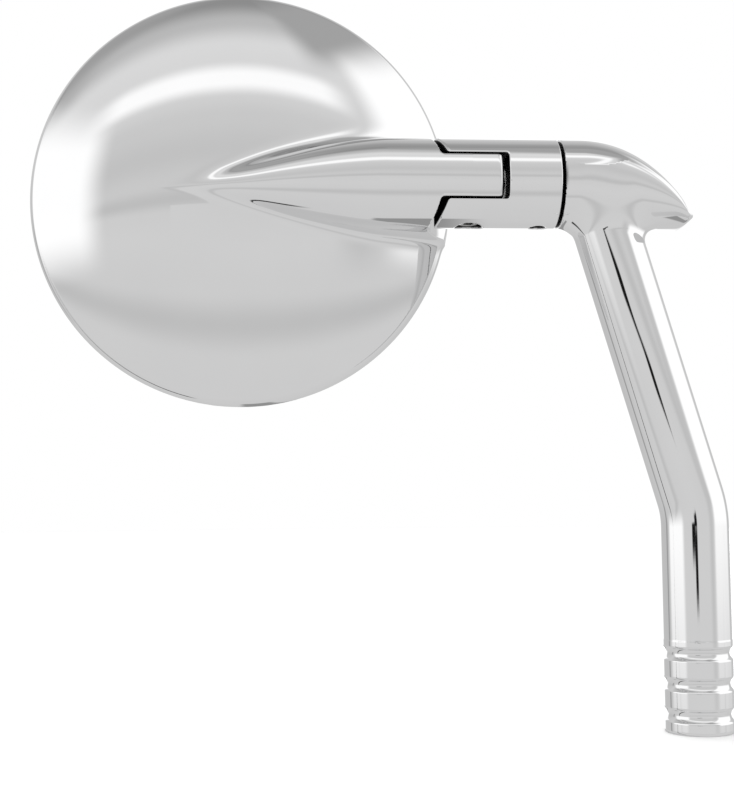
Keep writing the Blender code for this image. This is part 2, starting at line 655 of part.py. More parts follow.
def make_head_fittings(bronze, mirror, rubber, foam, parent):
    seat = SLOT_HALF - 2 * GAP - PIVOT_WASHER_THICKNESS
    bush = ring_outline(PIVOT_BORE, PIVOT_BORE + BUSH_WALL, 2 * seat, -seat)
    add_object("pivot_bush", turned(bush, COARSE), bronze, parent, PIVOT_AXIS)
    edge, front = glass_edge()
    radii = [edge * i / 4 for i in range(5)]
    face = [(r, glass_back(r) - GLASS_THICKNESS) for r in radii]
    back = [(r, glass_back(r)) for r in reversed(radii)]
    add_object("mirror_glass", turned(face + back, FINE), mirror, parent, DOME_BASE, BACK)
    outer = HEAD_RADIUS - RIM_LAND - GAP
    lip = edge - GASKET_OVERLAP
    low, high = front - GAP - GASKET_LIP, LEDGE_DEPTH - GAP
    channel = [(edge + GAP, front - GAP), (edge + GAP, front + GLASS_THICKNESS + GAP)]
    gasket = [(lip, low), (outer, low), (outer, high), (lip, high)]
    gasket += [(lip, front + GLASS_THICKNESS + GAP), channel[1], channel[0], (lip, front - GAP)]
    add_object("glass_gasket", turned(gasket, FINE), rubber, parent, DOME_BASE, BACK)
    pad = [(PAD_INNER, glass_back(PAD_INNER) + GAP), (PAD_OUTER, glass_back(PAD_OUTER) + GAP)]
    pad += [(PAD_OUTER, pad_back()), (PAD_INNER, pad_back())]
    add_object("glass_pad", turned(pad, FINE), foam, parent, DOME_BASE, BACK)


def main():
    clear_scene()
    chrome = finish("chrome", (0.80, 0.80, 0.81), 0.06, 1.0)
    steel = finish("steel", (0.52, 0.52, 0.53), 0.28, 1.0)
    bronze = finish("bronze", (0.58, 0.38, 0.18), 0.35, 1.0)
    nylon = finish("black nylon", (0.02, 0.02, 0.02), 0.5)
    rubber = finish("black rubber", (0.015, 0.015, 0.015), 0.7)
    foam = finish("foam tape", (0.08, 0.08, 0.08), 0.9)
    mirror = finish("mirror glass", (0.88, 0.90, 0.90), 0.02, 1.0)
    swivel = joint_frame("swivel_axis", SWIVEL_AXIS)
    pivot = joint_frame("head_pivot_axis", PIVOT_AXIS, swivel)
    make_stem(chrome)
    make_stem_fittings(steel)
    make_swivel_bolt(steel)
    make_clevis(chrome, swivel)
    make_swivel_fittings(steel, nylon, bronze, swivel)
    make_pivot_fittings(steel, nylon, swivel)
    make_head_shell(chrome, pivot)
    make_head_fittings(bronze, mirror, rubber, foam, pivot)


main()
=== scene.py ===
"""Looks of the round chrome handlebar mirror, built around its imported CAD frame.

Units are metres. The three chrome castings are polygonised from distance fields, so that
their fillets and rounded edges run smoothly into each other; the glass and its gasket are
turned profiles; the fasteners are the CAD pieces with finer materials.
"""

import functools
import json
import math

import bmesh
import bpy
import numpy as np
from mathutils import Matrix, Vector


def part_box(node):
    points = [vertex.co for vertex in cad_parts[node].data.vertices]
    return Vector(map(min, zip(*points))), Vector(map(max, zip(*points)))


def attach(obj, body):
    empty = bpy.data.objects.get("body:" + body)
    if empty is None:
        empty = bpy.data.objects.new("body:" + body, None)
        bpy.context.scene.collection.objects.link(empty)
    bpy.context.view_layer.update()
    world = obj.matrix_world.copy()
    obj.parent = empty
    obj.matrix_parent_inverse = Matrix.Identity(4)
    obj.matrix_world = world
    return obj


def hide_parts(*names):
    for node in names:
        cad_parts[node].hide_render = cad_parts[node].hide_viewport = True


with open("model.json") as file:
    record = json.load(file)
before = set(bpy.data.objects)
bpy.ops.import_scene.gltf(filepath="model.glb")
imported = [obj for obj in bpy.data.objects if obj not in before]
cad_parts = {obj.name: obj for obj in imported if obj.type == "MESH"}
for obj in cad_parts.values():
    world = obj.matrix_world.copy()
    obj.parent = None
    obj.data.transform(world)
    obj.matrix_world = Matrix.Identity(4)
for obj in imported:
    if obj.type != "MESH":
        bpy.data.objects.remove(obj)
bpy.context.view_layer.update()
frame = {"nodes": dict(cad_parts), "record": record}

MM = 0.001

# ---------------------------------------------------------------------------
# Sizes and places, from the frame and a few radii that its boxes don't show
# ---------------------------------------------------------------------------

BOX = {name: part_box(name) for name in frame["nodes"]}
JOINT = {joint["name"]: joint["pos_m"] for joint in frame["record"]["behaviour"]["joints"]}


def low(node):
    return BOX[node][0]


def high(node):
    return BOX[node][1]


def half_height(node):
    return (high(node).z - low(node).z) / 2


GAP = 0.3 * MM  # the frame's clearance between neighbours
AXIS_Z = JOINT["swivel_turn"][2]
PIVOT_X = JOINT["head_yaw"][0]

NECK_RADIUS = half_height("clevis")
HEAD_RADIUS = half_height("head_shell")
HEAD_X = low("head_shell").x + HEAD_RADIUS
RIM_Y = high("head_shell").y
TONGUE_END = high("head_shell").x
EAR_TIP = low("clevis").x
CLEVIS_FACE = high("clevis").x
STEM_FACE = low("stem").x
SLOT_FLOOR = low("swivel_bolt").x - GAP

# Head
CAP_TANGENT = 57.9 * MM  # where the dome meets its rounded rim
RIM_ROUND_CAD = 3.0 * MM
RIM_BAND = 1.0 * MM
RIM_ROUND = 1.9 * MM
RIM_EDGE = 0.45 * MM
CAP_DEPTH = RIM_Y - RIM_BAND
CAP_RADIUS = (CAP_TANGENT**2 + CAP_DEPTH**2 - RIM_ROUND_CAD**2) / (2 * (CAP_DEPTH - RIM_ROUND_CAD))
WALL = 2.6 * MM
BOWL_OVERLAP = 1.0 * MM
SEAT_RADIUS = (high("glass_gasket").x - low("glass_gasket").x) / 2 + GAP
LEDGE_Y = low("glass_gasket").y - GAP
NOSE_OVERRUN = 13.2 * MM
NOSE_LENGTH = 54.0 * MM
NOSE_POWER = 1.6
NOSE_DROP = 2.0 * MM  # the tip leans back into the dome by this much
NOSE_DROOP = 1.0 * MM  # and hangs by this much
BLEND_TOP = (8.0 * MM, 5.0 * MM)  # width of the blend above the neck: at its root and at the tip
BLEND_UNDER = (5.0 * MM, 3.0 * MM)
BLEND_LENGTH = 50.0 * MM
BLEND_TURN = 4.0 * MM  # height above and below the axis over which one blend gives way to the other
SHOULDER_X = PIVOT_X - 10.9 * MM
SHOULDER_ARC = 26.0 * MM
TONGUE_HALF = 5.9 * MM
TONGUE_CORNER = 1.8 * MM
INNER_CORNER = 0.8 * MM

# Swivel and stem
EDGE = 0.45 * MM
EAR_ARC = 20.0 * MM
SLOT_HALF = high("pivot_washer_upper").z - AXIS_Z + GAP
BOLT_BORE = 3.3 * MM
PIVOT_BORE = 2.8 * MM
STEM_RADIUS = 9.4 * MM
FOOT_RADIUS = 9.5 * MM
FOOT_LENGTH = 25.0 * MM
FOOT_STEP = 0.25 * MM
FOOT_EDGE = 0.9 * MM
GROOVE_COUNT = 3
GROOVE_FIRST = 5.0 * MM
GROOVE_PITCH = 8.3 * MM
GROOVE_WIDTH = 3.45 * MM
GROOVE_DEPTH = 0.95 * MM
GROOVE_EDGE = 0.3 * MM
BEND_HEIGHT = 60.3 * MM
BEND_RADIUS = 30.0 * MM
STEM_LEAN = math.radians(16.3)
TAIL_RISE = 5.7 * MM
TAIL_ARC = 30.0 * MM
TAIL_LIP = 4.6 * MM  # height left at the end of the tail
TAIL_TIP = 1.8 * MM
TAIL_CORNER = 4.0 * MM  # corners of the tail seen from above
TAIL_SPAN = 0.96 * TAIL_ARC  # the section follows the arc up to here
TAIL_SLOPE_FROM = -0.2  # share of the section's half height where the fall starts to count
TAIL_SLOPE_FULL = 0.8
TAIL_FALL = math.acos(1 - (2 * NECK_RADIUS - TAIL_LIP) / TAIL_ARC)
TAIL_END = STEM_FACE + TAIL_RISE + TAIL_ARC * math.sin(TAIL_FALL) + TAIL_TIP
STEM_FILLET_FRONT = 3.6 * MM  # towards the head
STEM_FILLET_REAR = 5.0 * MM
SOCKET_RADIUS = high("foot_thread_insert").x + GAP
SOCKET_DEPTH = high("foot_thread_insert").z + GAP


# ---------------------------------------------------------------------------
# Distance fields
# ---------------------------------------------------------------------------


def cut_round(a, b, radius):
    """Both a and b inside, with the edge between them rounded to the radius."""
    corner = np.hypot(np.maximum(a + radius, 0), np.maximum(b + radius, 0))
    return np.minimum(-radius, np.maximum(a, b)) + corner


def join_round(a, b, radius):
    """Either a or b inside, with a fillet of the radius between them."""
    corner = np.hypot(np.maximum(radius - a, 0), np.maximum(radius - b, 0))
    return np.maximum(radius, np.minimum(a, b)) - corner


def join_smooth(a, b, width):
    """Either a or b inside, flowing into each other without a change of curvature."""
    near = np.maximum(width - np.abs(a - b), 0) / width
    return np.minimum(a, b) - near**3 * width / 6


def union(*fields):
    return functools.reduce(np.minimum, fields)


def smooth_step(value, start, end):
    t = np.clip((value - start) / (end - start), 0, 1)
    return t * t * (3 - 2 * t)


def dome_field(x, y, w):
    spoke = np.hypot(x - HEAD_X, w)
    cap = np.hypot(spoke, y - CAP_RADIUS) - CAP_RADIUS
    dome = cut_round(cap, spoke - HEAD_RADIUS, RIM_ROUND)
    return cut_round(dome, y - RIM_Y, RIM_EDGE)


def hollow_field(x, y, w):
    """The room behind the glass: a bowl with a ledge, and the seat of the gasket."""
    spoke = np.hypot(x - HEAD_X, w)
    inner = np.hypot(spoke, y - CAP_RADIUS) - (CAP_RADIUS - WALL)
    bowl = np.maximum(inner, y - LEDGE_Y - BOWL_OVERLAP)
    seat = np.maximum(spoke - SEAT_RADIUS, LEDGE_Y - y)
    return np.maximum(np.minimum(bowl, seat), spoke - SEAT_RADIUS)


def nose_lead(x, length):
    """1 at the tip of the nose and 0 from the given length on."""
    return np.clip(1 - (x - HEAD_X + NOSE_OVERRUN) / length, 0, 1)


def neck_field(x, y, w):
    """Bullet nose and round neck, whose sides run straight on into the dome."""
    along = (x - HEAD_X + NOSE_OVERRUN) / NOSE_LENGTH
    lead = nose_lead(x, NOSE_LENGTH)
    behind_tip = NECK_RADIUS * (1 - lead**NOSE_POWER)
    radius = np.where(along > 0, behind_tip, NECK_RADIUS * NOSE_POWER * along)
    slope = NECK_RADIUS * NOSE_POWER * lead ** (NOSE_POWER - 1) / NOSE_LENGTH
    stretch = np.sqrt(1 + slope**2)
    v = y - NOSE_DROP * lead**2
    u = w + NOSE_DROOP * lead**2
    bar = (np.hypot(v, u) - radius) / stretch
    web = (np.hypot(np.minimum(v, 0), u) - radius) / stretch
    spoke = np.hypot(x - HEAD_X, w)
    within_rim = np.maximum(spoke - HEAD_RADIUS + RIM_EDGE, y - RIM_Y + RIM_BAND)
    return np.minimum(bar, np.maximum(web, within_rim))


def blend_width(x, w):
    lead = nose_lead(x, BLEND_LENGTH)
    above = smooth_step(w, -BLEND_TURN, BLEND_TURN)
    root = BLEND_UNDER[0] + (BLEND_TOP[0] - BLEND_UNDER[0]) * above
    tip = BLEND_UNDER[1] + (BLEND_TOP[1] - BLEND_UNDER[1]) * above
    return root + (tip - root) * lead


def head_field(x, y, z):
    w = z - AXIS_Z
    solid = join_smooth(dome_field(x, y, w), neck_field(x, y, w), blend_width(x, w))
    solid = cut_round(solid, y - RIM_Y, EDGE)
    solid = cut_round(solid, -hollow_field(x, y, w), GAP)
    centre = SHOULDER_X + SHOULDER_ARC
    arc = np.where(x < centre, np.hypot(x - centre, y), np.abs(y)) - SHOULDER_ARC
    room = cut_round(arc, TONGUE_HALF - np.abs(w), INNER_CORNER)
    solid = cut_round(solid, -room, EDGE)
    end = cut_round(x - TONGUE_END, np.hypot(y, w) - NECK_RADIUS, TONGUE_CORNER)
    solid = np.where(x > PIVOT_X, cut_round(solid, end, EDGE), solid)
    spindle = np.hypot(x - PIVOT_X, y)
    bush = spindle - high("pivot_bush").y - GAP
    past_bush = high("pivot_bush").z - AXIS_Z - np.abs(w)
    washer = np.maximum(spindle - high("pivot_washer_upper").y - GAP, past_bush)
    return np.maximum(solid, -np.minimum(bush, washer))


def clevis_field(x, y, z):
    w = z - AXIS_Z
    ring = np.hypot(y, w)
    centre = EAR_TIP + EAR_ARC
    tips = np.where(x < centre, np.hypot(x - centre, y), np.abs(y)) - EAR_ARC
    solid = cut_round(ring - NECK_RADIUS, x - CLEVIS_FACE, EDGE)
    solid = cut_round(solid, tips, EDGE)
    slot = cut_round(x - SLOT_FLOOR, np.abs(w) - SLOT_HALF, INNER_CORNER)
    solid = cut_round(solid, -slot, EDGE)
    spindle = np.hypot(x - PIVOT_X, y)
    grub = np.hypot(x - (low("swivel_grub_screw").x + high("swivel_grub_screw").x) / 2, y)
    head_pocket = ring - high("swivel_bolt").y - GAP
    washer_pocket = ring - high("swivel_friction_washer").y - GAP
    screw_pocket = spindle - high("pivot_screw").y - GAP
    insert_pocket = spindle - high("pivot_thread_insert").y - GAP
    holes = [
        ring - BOLT_BORE,
        np.maximum(head_pocket, x - high("swivel_disc_spring_inner").x - GAP),
        np.maximum(washer_pocket, low("swivel_friction_washer").x - GAP - x),
        np.maximum(screw_pocket, z - high("pivot_disc_spring").z - GAP),
        np.maximum(spindle - PIVOT_BORE, w),
        np.maximum(insert_pocket, np.maximum(-w, z - high("pivot_screw").z - GAP)),
        np.maximum(grub - high("swivel_grub_screw").y - GAP, w),
    ]
    return cut_round(solid, -union(*holes), GAP)


def tube_field(x, y, z):
    """Upright foot, bend and leaning tube, a little thicker over the height of the foot."""
    start = BEND_HEIGHT - BEND_RADIUS * math.tan(STEM_LEAN / 2)
    lean_x, lean_z = math.cos(STEM_LEAN), math.sin(STEM_LEAN)
    end_x = BEND_RADIUS * (lean_x - 1)
    end_z = start + BEND_RADIUS * lean_z
    angle = np.arctan2(z - start, x + BEND_RADIUS)
    bend = np.hypot(x + BEND_RADIUS, z - start) - BEND_RADIUS
    upper = (x - end_x) * lean_x + (z - end_z) * lean_z
    offset = np.where(z < start, x, np.where(angle < STEM_LEAN, bend, upper))
    step = smooth_step(z, FOOT_LENGTH + FOOT_STEP, FOOT_LENGTH)
    tube = np.hypot(offset, y) - STEM_RADIUS - (FOOT_RADIUS - STEM_RADIUS) * step
    return cut_round(tube, -z, FOOT_EDGE)


def groove_field(x, y, z):
    half = GROOVE_WIDTH / 2
    radius = (half**2 + GROOVE_DEPTH**2) / (2 * GROOVE_DEPTH)
    spoke = np.hypot(x, y) - (FOOT_RADIUS - GROOVE_DEPTH + radius)
    heights = [GROOVE_FIRST + i * GROOVE_PITCH for i in range(GROOVE_COUNT)]
    return union(*(np.hypot(spoke, z - height) for height in heights)) - radius


def tail_field(x, y, w):
    """Bar along the neck axis: a round section whose top falls away to a flat tail."""
    start = STEM_FACE + TAIL_RISE
    ahead = np.clip(x - start, 0, TAIL_SPAN)
    reach = np.sqrt(TAIL_ARC**2 - ahead**2)
    half = NECK_RADIUS - (TAIL_ARC - reach) / 2
    half = np.maximum(half, TAIL_TIP)
    v = w + NECK_RADIUS - half
    ring = np.hypot(y / NECK_RADIUS, v / half)
    skew = np.maximum(np.hypot(y / NECK_RADIUS**2, v / half**2), 1 / (2 * NECK_RADIUS))
    section = ring * (ring - 1) / skew
    tilt = smooth_step(v / half, TAIL_SLOPE_FROM, TAIL_SLOPE_FULL) * ahead / reach
    bar = section / np.sqrt(1 + tilt**2)
    outline = cut_round(np.abs(y) - NECK_RADIUS, x - TAIL_END, TAIL_CORNER)
    return cut_round(bar, outline, TAIL_TIP)


def stem_field(x, y, z):
    w = z - AXIS_Z
    bar = np.maximum(tail_field(x, y, w), STEM_FACE - x)
    tube = cut_round(tube_field(x, y, z), -groove_field(x, y, z), GROOVE_EDGE)
    tube = np.maximum(tube, w)
    top_x = (BEND_HEIGHT - AXIS_Z) * math.tan(STEM_LEAN)
    rear = smooth_step(x, top_x - STEM_RADIUS, top_x + STEM_RADIUS)
    fillet = STEM_FILLET_FRONT + (STEM_FILLET_REAR - STEM_FILLET_FRONT) * rear
    solid = np.maximum(join_round(bar, tube, fillet), np.abs(y) - NECK_RADIUS)
    solid = cut_round(solid, STEM_FACE - x, EDGE)
    ring = np.hypot(y, w)
    insert_end = high("swivel_thread_insert")
    insert = np.maximum(ring - insert_end.y - GAP, x - insert_end.x - GAP)
    socket = np.maximum(np.hypot(x, y) - SOCKET_RADIUS, z - SOCKET_DEPTH)
    return cut_round(solid, -np.minimum(insert, socket), GAP)


# ---------------------------------------------------------------------------
# From a field to a mesh
# ---------------------------------------------------------------------------

PROBE = 0.01 * MM  # step either side of a point when measuring a slope
REACH = 0.3 * MM  # furthest that one step moves a point
STEEPNESS_FLOOR = 0.05
SETTLING_STEPS = 4
RELAX_ROUNDS = 2


def grid_lines(start, *stretches):
    """Grid lines along one axis: each stretch is (end, step) and follows on the one before."""
    lines = []
    for end, step in stretches:
        count = max(round((end - start) / step), 1)
        lines.append(np.linspace(start, end, count, endpoint=False))
        start = end
    return np.append(np.concatenate(lines), start)


def gradient(field, points):
    slopes = []
    for axis in range(3):
        ahead, behind = points.copy(), points.copy()
        ahead[:, axis] += PROBE
        behind[:, axis] -= PROBE
        slopes.append((field(*ahead.T) - field(*behind.T)) / (2 * PROBE))
    return np.stack(slopes, axis=1)


def unit_normals(field, points):
    slope = gradient(field, points)
    return slope / np.linalg.norm(slope, axis=1)[:, None]


def onto_surface(field, points):
    """Moves points along the field's gradient until they lie on its surface."""
    for _ in range(SETTLING_STEPS):
        slope = gradient(field, points)
        size = np.maximum((slope**2).sum(1), STEEPNESS_FLOOR)
        points = points - np.clip(field(*points.T) / size, -REACH, REACH)[:, None] * slope
    return points


def cell_faces(inside, cells):
    """Quads between the cells round each grid edge that the surface crosses."""
    faces = []
    for axis in range(3):
        a, b = (axis + 1) % 3, (axis + 2) % 3
        ends = np.moveaxis(inside, (axis, a, b), (0, 1, 2))
        ids = np.moveaxis(cells, (axis, a, b), (0, 1, 2))
        first, second = ends[:-1, 1:-1, 1:-1], ends[1:, 1:-1, 1:-1]
        i, j, k = np.nonzero(first != second)
        ring = [ids[i, j, k], ids[i, j + 1, k], ids[i, j + 1, k + 1], ids[i, j, k + 1]]
        quad = np.stack(ring, axis=1)
        leaving = first[i, j, k]
        faces.append(np.where(leaving[:, None], quad, quad[:, ::-1]))
    return np.concatenate(faces)


def polygonise(field, lines):
    """Points and quads of the field's surface: one point in each grid cell that it crosses."""
    values = field(*np.meshgrid(*lines, indexing="ij", sparse=True))
    inside = values < 0
    corners = [(a, b, c) for a in (0, 1) for b in (0, 1) for c in (0, 1)]
    count = np.zeros([len(line) - 1 for line in lines], np.int8)
    for corner in corners:
        count += inside[tuple(slice(side, side - 1 or None) for side in corner)]
    crossed = (count > 0) & (count < 8)
    cells = np.full(crossed.shape, -1, np.int64)
    cells[crossed] = np.arange(crossed.sum())
    place = np.argwhere(crossed)
    total = np.zeros((len(place), 3))
    hits = np.zeros(len(place))
    for start in corners:
        for axis in range(3):
            if start[axis]:
                continue
            near = place + start
            far = near + np.eye(3, dtype=int)[axis]
            value_near, value_far = values[tuple(near.T)], values[tuple(far.T)]
            crossing = (value_near < 0) != (value_far < 0)
            share = np.where(crossing, value_near / np.where(crossing, value_near - value_far, 1), 0)
            here = np.stack([lines[n][near[:, n]] for n in range(3)], axis=1)
            here[:, axis] += share * (lines[axis][far[:, axis]] - lines[axis][near[:, axis]])
            total += here * crossing[:, None]
            hits += crossing
    return total / hits[:, None], cell_faces(inside, cells)


def relax(field, points, faces):
    """Evens out the points along the surface, without leaving it."""
    for _ in range(RELAX_ROUNDS):
        total, count = np.zeros_like(points), np.zeros(len(points))
        for n in range(4):
            np.add.at(total, faces[:, n], points[faces[:, n - 1]] + points[faces[:, (n + 1) % 4]])
            np.add.at(count, faces[:, n], 2)
        shift = (total / count[:, None] - points) * 0.5
        normals = unit_normals(field, points)
        shift -= (shift * normals).sum(1)[:, None] * normals
        points = onto_surface(field, points + shift)
    return points


def casting(name, field, lines, material, inner):
    """A smooth closed piece; inner(x, y, z) is 1 on the faces inside its gaps, which get painted shade
    and a dull finish.
    """
    points, faces = polygonise(field, lines)
    points = relax(field, onto_surface(field, points), faces)
    normals = unit_normals(field, points)
    mesh = bpy.data.meshes.new(name)
    mesh.from_pydata(points.tolist(), [], faces.tolist())
    mesh.shade_smooth()
    mesh.normals_split_custom_set_from_vertices(normals.tolist())
    mesh.materials.append(material)
    # the "inner" attribute carries the painted shade (and dull finish) of the faces inside the gaps
    layer = mesh.attributes.new("inner", "FLOAT", "POINT")
    layer.data.foreach_set("value", np.clip(inner(*points.T), 0, 1).astype(np.float32))
    obj = bpy.data.objects.new(name, mesh)
    bpy.context.scene.collection.objects.link(obj)
    return obj


# ---------------------------------------------------------------------------
# Materials
# ---------------------------------------------------------------------------


class Nodes:
    """Short calls for building one node tree."""

    def __init__(self, tree):
        self.tree = tree

    def add(self, kind, **settings):
        node = self.tree.nodes.new(kind)
        for key, value in settings.items():
            setattr(node, key, value)
        return node

    def link(self, source, target):
        self.tree.links.new(source, target)

    def feed(self, node, name, value):
        """Sets a socket to a number, or links another node's output to it."""
        if isinstance(value, bpy.types.NodeSocket):
            self.link(value, node.inputs[name])
        else:
            node.inputs[name].default_value = value

    def math(self, operation, *values):
        node = self.add("ShaderNodeMath", operation=operation)
        for i, value in enumerate(values):
            self.feed(node, i, value)
        return node.outputs[0]

    def step(self, value, start, end, low_value=0.0, high_value=1.0):
        node = self.add("ShaderNodeMapRange", interpolation_type="SMOOTHSTEP")
        for name, item in (("Value", value), ("From Min", start), ("From Max", end)):
            self.feed(node, name, item)
        self.feed(node, "To Min", low_value)
        self.feed(node, "To Max", high_value)
        return node.outputs[0]

    def mix(self, factor, a, b):
        node = self.add("ShaderNodeMix", data_type="FLOAT")
        self.feed(node, 0, factor)
        self.feed(node, 2, a)
        self.feed(node, 3, b)
        return node.outputs[0]

    def mix_colour(self, factor, a, b):
        node = self.add("ShaderNodeMix", data_type="RGBA")
        self.feed(node, 0, factor)
        self.feed(node, 6, a)
        self.feed(node, 7, b)
        return node.outputs[2]

    def noise(self, coordinates, scale, detail=2.0, roughness=0.5):
        node = self.add("ShaderNodeTexNoise")
        self.feed(node, "Vector", coordinates)
        for name, value in (("Scale", scale), ("Detail", detail), ("Roughness", roughness)):
            self.feed(node, name, value)
        return node.outputs["Fac"]

    def scaled(self, coordinates, scale):
        node = self.add("ShaderNodeMapping")
        self.feed(node, "Vector", coordinates)
        node.inputs["Scale"].default_value = scale
        return node.outputs[0]

    def bump(self, height, distance, normal=None):
        node = self.add("ShaderNodeBump")
        self.feed(node, "Height", height)
        node.inputs["Distance"].default_value = distance
        if normal is not None:
            self.feed(node, "Normal", normal)
        return node.outputs[0]


def new_material(name, metallic=0.0):
    material = bpy.data.materials.new(name)
    material.use_nodes = True
    nodes = Nodes(material.node_tree)
    shader = material.node_tree.nodes["Principled BSDF"]
    shader.inputs["Metallic"].default_value = metallic
    place = nodes.add("ShaderNodeTexCoord").outputs["Object"]
    return material, nodes, shader, place


def chrome():
    """Polished plate: a faint swell left by buffing, hairline marks, and painted shade with a dull
    finish on the faces in the gaps.
    """
    material, nodes, shader, place = new_material("polished chrome", 1.0)
    inner = nodes.add("ShaderNodeAttribute", attribute_name="inner").outputs["Fac"]
    haze = nodes.noise(place, 45, 3)
    plate = nodes.mix_colour(haze, (0.80, 0.80, 0.805, 1), (0.84, 0.84, 0.84, 1))
    # painted shade: the faces inside the gaps are coloured near-black, so the gaps look shadowed
    nodes.feed(shader, "Base Color", nodes.mix_colour(inner, plate, (0.012, 0.012, 0.013, 1)))
    hairline = nodes.noise(nodes.scaled(place, (900, 900, 9000)), 1, 3)
    marks = nodes.step(hairline, 0.60, 0.80, 0.0, 0.03)
    smudge = nodes.step(nodes.noise(place, 110, 4), 0.45, 0.75, 0.0, 0.02)
    polish = nodes.math("ADD", nodes.math("ADD", marks, smudge), 0.028)
    nodes.feed(shader, "Roughness", nodes.mix(inner, polish, 0.55))
    swell = nodes.bump(nodes.noise(place, 38, 1), 0.03 * MM)
    grain = nodes.bump(nodes.noise(place, 2600, 2), 0.0004 * MM, swell)
    nodes.feed(shader, "Normal", grain)
    return material


def turned_steel():
    """Zinc-plated fasteners with the rings that turning leaves."""
    material, nodes, shader, place = new_material("zinc-plated steel", 1.0)
    tint = nodes.noise(place, 400, 4)
    colour = nodes.mix_colour(tint, (0.46, 0.46, 0.45, 1), (0.60, 0.60, 0.59, 1))
    nodes.feed(shader, "Base Color", colour)
    nodes.feed(shader, "Roughness", nodes.step(nodes.noise(place, 900, 4), 0.3, 0.7, 0.20, 0.36))
    rings = nodes.noise(nodes.scaled(place, (1500, 1500, 9000)), 1, 2)
    nodes.feed(shader, "Normal", nodes.bump(rings, 0.01 * MM))
    return material


def turned_bronze():
    material, nodes, shader, place = new_material("oiled bronze", 1.0)
    tint = nodes.noise(place, 500, 4)
    colour = nodes.mix_colour(tint, (0.48, 0.29, 0.12, 1), (0.68, 0.46, 0.22, 1))
    nodes.feed(shader, "Base Color", colour)
    nodes.feed(shader, "Roughness", nodes.step(tint, 0.3, 0.7, 0.26, 0.42))
    nodes.feed(shader, "Normal", nodes.bump(nodes.noise(place, 4000, 2), 0.01 * MM))
    return material


def moulded(name, dark, light, roughness, grain_scale, grain_depth):
    """Black plastic, rubber or foam: a mottled colour and a moulded grain."""
    material, nodes, shader, place = new_material(name)
    mottle = nodes.noise(place, grain_scale / 4, 4)
    colour = nodes.mix_colour(mottle, (dark, dark, dark, 1), (light, light, light, 1))
    nodes.feed(shader, "Base Color", colour)
    spread = 0.08
    worn = nodes.step(mottle, 0.3, 0.7, roughness - spread, roughness + spread)
    nodes.feed(shader, "Roughness", worn)
    grain = nodes.noise(place, grain_scale, 3, 0.6)
    nodes.feed(shader, "Normal", nodes.bump(grain, grain_depth))
    return material


def silvered_glass():
    """Front of the convex glass over its silver, with a trace of haze and dust."""
    material, nodes, shader, place = new_material("silvered glass", 1.0)
    haze = nodes.noise(place, 30, 4)
    colour = nodes.mix_colour(haze, (0.84, 0.87, 0.87, 1), (0.88, 0.90, 0.90, 1))
    nodes.feed(shader, "Base Color", colour)
    dust = nodes.step(nodes.noise(place, 3000, 2), 0.66, 0.74, 0.0, 0.10)
    veil = nodes.step(nodes.noise(place, 70, 4), 0.45, 0.8, 0.004, 0.03)
    nodes.feed(shader, "Roughness", nodes.math("ADD", veil, dust))
    shader.inputs["Coat Weight"].default_value = 0.6
    shader.inputs["Coat Roughness"].default_value = 0.01
    return material


# ---------------------------------------------------------------------------
# Pieces
# ---------------------------------------------------------------------------


COARSE_STEP = 0.8 * MM
MEDIUM_STEP = 0.5 * MM
STEM_STEP = 0.45 * MM
NECK_STEP = 0.4 * MM
FINE_STEP = 0.32 * MM
FOOT_MESH_STEP = 0.22 * MM
MARGIN = 1.0 * MM  # grid beyond the piece
TONGUE_LEAD = 2.0 * MM  # the fine mesh starts this far before the tongue's shoulder
NECK_BAND = 4.0 * MM  # and the neck's reaches this far past it
RIM_BELT = 5.0 * MM
TAIL_BELT = 30.0 * MM
INNER_FROM = 0.25 * MM  # depth under the neck's outline where a face starts to take painted shade and a dull finish
INNER_FULL = 0.7 * MM
SHOULDER_FADE = 0.3 * MM
FACE_FROM = 0.8 * MM
FACE_FULL = 0.4 * MM

SPIN_STEPS = 192
SHARP_EDGE = math.radians(35)
CORNER_STEPS = 3
GLASS_RINGS = 25
GLASS_THICKNESS = 2.0 * MM
GLASS_BEVEL = 0.5 * MM
GASKET_WALL = 1.1 * MM
GASKET_LIP = 0.7 * MM
GASKET_COVER = 1.7 * MM  # how far the lip reaches over the glass
GASKET_ROUND = 0.3 * MM


def gap_shade_mask(start):
    """Mask of painted shade: the faces that lie within the neck's round outline, past a place along
    it.
    """

    def mask(x, y, z):
        depth = NECK_RADIUS - np.hypot(y, z - AXIS_Z)
        return smooth_step(depth, INNER_FROM, INNER_FULL) * start(x)

    return mask


def head_casting(material):
    along = ((SHOULDER_X - TONGUE_LEAD, COARSE_STEP), (TONGUE_END + MARGIN, FINE_STEP))
    through = ((RIM_Y - RIM_BELT, MEDIUM_STEP), (RIM_Y + MARGIN, FINE_STEP))
    upright = (
        (AXIS_Z - NECK_RADIUS - NECK_BAND, COARSE_STEP),
        (AXIS_Z + NECK_RADIUS + NECK_BAND, NECK_STEP),
        (AXIS_Z + HEAD_RADIUS + MARGIN, COARSE_STEP),
    )
    lines = (
        grid_lines(HEAD_X - HEAD_RADIUS - MARGIN, *along),
        grid_lines(-NECK_RADIUS - MARGIN, *through),
        grid_lines(AXIS_Z - HEAD_RADIUS - MARGIN, *upright),
    )
    past_shoulder = gap_shade_mask(lambda x: smooth_step(x, SHOULDER_X - SHOULDER_FADE, SHOULDER_X))
    return casting("head_casting", head_field, lines, material, past_shoulder)


def clevis_casting(material):
    along = grid_lines(EAR_TIP - MARGIN, (CLEVIS_FACE + MARGIN, FINE_STEP))
    across = grid_lines(-NECK_RADIUS - MARGIN, (NECK_RADIUS + MARGIN, FINE_STEP))
    lines = (along, across, across + AXIS_Z)
    return casting("clevis_casting", clevis_field, lines, material, gap_shade_mask(lambda x: 1))


